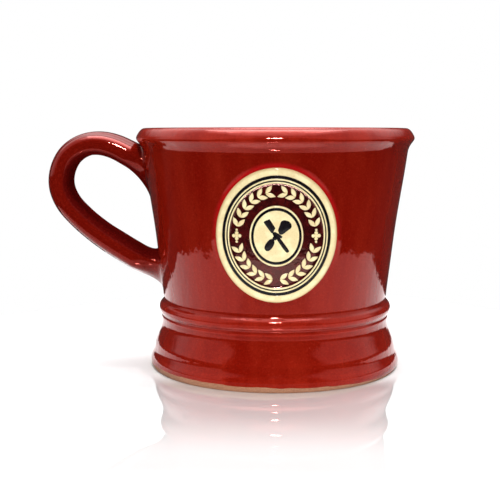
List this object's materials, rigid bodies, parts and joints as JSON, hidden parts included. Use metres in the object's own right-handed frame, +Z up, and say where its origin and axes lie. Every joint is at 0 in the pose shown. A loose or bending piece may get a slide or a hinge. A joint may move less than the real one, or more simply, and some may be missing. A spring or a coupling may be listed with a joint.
{
  "type": "shaving mug",
  "caption": "Stoneware shaving mug: flared cup on a moulded foot, broad strap handle and an oval raised medallion with a plain wreath and brush emblem.",
  "frame": {"origin": "on the cup's axis, at the plane that the foot ring rests on", "axes": "+Z up along the cup's axis, -Y out of the medallion's face, -X towards the handle"},
  "size_m": [0.1425, 0.108, 0.093],
  "materials": {
    "red_glaze": "gloss",
    "pale_glaze": "gloss",
    "black_glaze": "gloss",
    "maroon_glaze": "gloss"
  },
  "bodies": {
    "root": {"cup_body": "red_glaze", "handle": "red_glaze", "upper_joint_clay": "red_glaze", "lower_joint_clay": "red_glaze", "medallion_disc": "pale_glaze", "outer_line_glaze": "black_glaze", "inner_line_glaze": "black_glaze", "field_glaze": "maroon_glaze", "wreath_leaves": "pale_glaze", "side_sprigs": "pale_glaze", "centre_panel": "pale_glaze", "panel_line_glaze": "black_glaze", "emblem_glaze": "black_glaze"}
  },
  "joints": []
}
